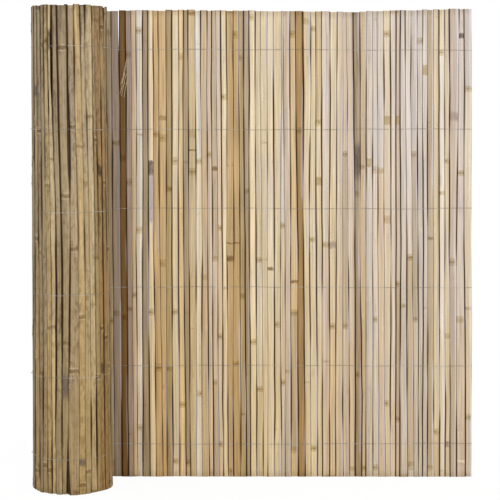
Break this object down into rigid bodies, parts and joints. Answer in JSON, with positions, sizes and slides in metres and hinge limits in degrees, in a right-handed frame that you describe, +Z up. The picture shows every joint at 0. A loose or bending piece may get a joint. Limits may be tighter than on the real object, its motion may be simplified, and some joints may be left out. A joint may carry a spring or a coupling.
{
  "type": "bamboo screening roll",
  "caption": "Split-bamboo screening mat on end, upright slats bound by rows of thin twisted wire, partly unrolled: a wound roll with a flat stretch opened out beside it.",
  "frame": {"origin": "middle of the whole mat's plan, on the floor that it stands on", "axes": "+Z up along the slats; +X from the roll towards the free edge of the open stretch; +Y from the split faces, which the camera sees, to the skin faces"},
  "size_m": [0.9312, 0.1666, 1],
  "materials": {
    "bamboo": "split, dry and unvarnished",
    "galvanised_wire": "dull galvanised"
  },
  "bodies": {
    "root": {"open_screen_slats": "bamboo", "roll_turn_1_slats": "bamboo", "roll_turn_2_slats": "bamboo", "roll_turn_3_slats": "bamboo", "roll_turn_4_slats": "bamboo", "roll_turn_5_slats": "bamboo", "roll_turn_6_slats": "bamboo", "binding_wire_1": "galvanised_wire", "binding_wire_2": "galvanised_wire", "binding_wire_3": "galvanised_wire", "binding_wire_4": "galvanised_wire", "binding_wire_5": "galvanised_wire", "binding_wire_6": "galvanised_wire"}
  },
  "joints": []
}
